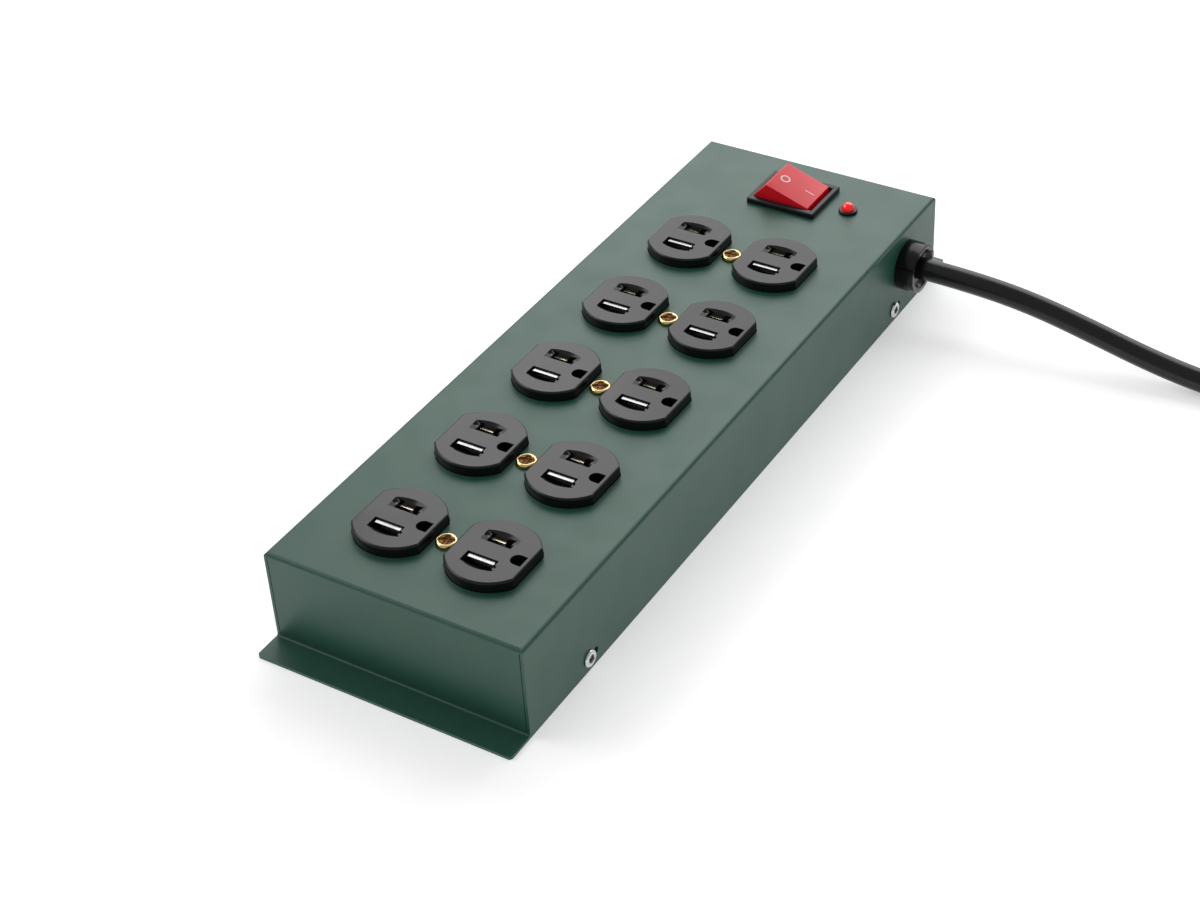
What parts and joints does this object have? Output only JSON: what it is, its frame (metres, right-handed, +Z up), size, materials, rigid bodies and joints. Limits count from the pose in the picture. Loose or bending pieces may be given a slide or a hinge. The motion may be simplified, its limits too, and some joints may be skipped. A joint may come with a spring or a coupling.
{
  "type": "power strip",
  "caption": "Metal-cased power strip with rows of grounded duplex outlets, a lit rocker switch, an indicator lamp and a coiled mains cord with its plug.",
  "frame": {"origin": "middle of the case's underside", "axes": "+Y along the case from the first outlet row to the switch, +X across it to the side the cord leaves, +Z up out of the outlets"},
  "size_m": [0.3937, 0.34, 0.0479],
  "materials": {
    "painted_steel": "semi-gloss grey-green baked enamel",
    "dark_steel": "satin dark grey-green enamel",
    "plated_screw": "bright zinc plating",
    "brass_screw": "polished brass",
    "outlet_plastic": "glossy black moulded thermoset",
    "outlet_base": "matt dark moulded thermoset",
    "contact_brass": "stamped brass strip",
    "contact_silver": "nickel-plated strip",
    "strap_steel": "zinc-plated steel strip",
    "wire_black": "matt vinyl insulation",
    "wire_white": "matt vinyl insulation",
    "wire_green": "matt vinyl insulation",
    "bond_steel": "green-tinted zinc plating",
    "switch_plastic": "satin black nylon",
    "rocker_plastic": "translucent red polycarbonate, gloss",
    "plunger_plastic": "matt acetal",
    "seesaw_copper": "copper alloy strip",
    "lamp_glass": "clear glass with a warm glow",
    "lens_bezel": "satin black nylon",
    "led_epoxy": "clear red epoxy, gloss",
    "board_laminate": "glass-epoxy laminate with solder mask",
    "standoff_nylon": "natural nylon",
    "varistor_coat": "dipped epoxy coating",
    "fuse_ceramic": "moulded thermal fuse case",
    "capacitor_film": "moulded capacitor case",
    "choke_copper": "enamelled copper winding",
    "bushing_nylon": "satin black nylon",
    "cord_jacket": "satin black vinyl jacket",
    "tie_fabric": "black hook-and-loop tape",
    "plug_vinyl": "satin black moulded vinyl",
    "blade_nickel": "nickel-plated brass"
  },
  "bodies": {
    "housing": {"housing_cover": "painted_steel", "base_plate": "dark_steel", "side_screws": "plated_screw", "outlet_face_1": "outlet_plastic", "outlet_face_2": "outlet_plastic", "outlet_face_3": "outlet_plastic", "outlet_face_4": "outlet_plastic", "outlet_face_5": "outlet_plastic", "outlet_back_1": "outlet_base", "outlet_back_2": "outlet_base", "outlet_back_3": "outlet_base", "outlet_back_4": "outlet_base", "outlet_back_5": "outlet_base", "line_contacts_1": "contact_brass", "line_contacts_2": "contact_brass", "line_contacts_3": "contact_brass", "line_contacts_4": "contact_brass", "line_contacts_5": "contact_brass", "neutral_contacts_1": "contact_silver", "neutral_contacts_2": "contact_silver", "neutral_contacts_3": "contact_silver", "neutral_contacts_4": "contact_silver", "neutral_contacts_5": "contact_silver", "ground_strap_1": "strap_steel", "ground_strap_2": "strap_steel", "ground_strap_3": "strap_steel", "ground_strap_4": "strap_steel", "ground_strap_5": "strap_steel", "centre_screws": "brass_screw", "line_wiring": "wire_black", "neutral_wiring": "wire_white", "ground_wiring": "wire_green", "ground_terminal": "bond_steel", "switch_housing": "switch_plastic", "switch_terminals": "contact_silver", "switch_lamp": "lamp_glass", "indicator_bezel": "lens_bezel", "indicator_led": "led_epoxy", "led_leads": "contact_silver", "surge_board": "board_laminate", "board_standoffs": "standoff_nylon", "varistors": "varistor_coat", "thermal_fuse": "fuse_ceramic", "filter_capacitor": "capacitor_film", "filter_choke": "choke_copper", "strain_relief_body": "bushing_nylon", "strain_relief_clamp": "bushing_nylon", "cord_lead": "cord_jacket", "cord_coil": "cord_jacket", "cord_tail": "cord_jacket", "coil_tie": "tie_fabric", "plug_body": "plug_vinyl", "plug_blades": "blade_nickel", "plug_ground_pin": "blade_nickel"},
    "rocker": {"switch_rocker": "rocker_plastic", "rocker_plunger": "plunger_plastic"},
    "seesaw": {"seesaw_contact": "seesaw_copper"}
  },
  "joints": [
    {"name": "rocker_hinge", "type": "hinge", "parent": "housing", "child": "rocker", "pos_m": [0.0005, 0.132, 0.0387], "axis": [0, -1, 0], "range_deg": [0, 36.7]},
    {"name": "seesaw_hinge", "type": "hinge", "parent": "housing", "child": "seesaw", "pos_m": [0.0005, 0.132, 0.0245], "axis": [0, 1, 0], "range_deg": [0, 16]}
  ],
  "couplings": [
    {"joint": "seesaw_hinge", "follows": "rocker_hinge", "ratio": 0.4359}
  ]
}
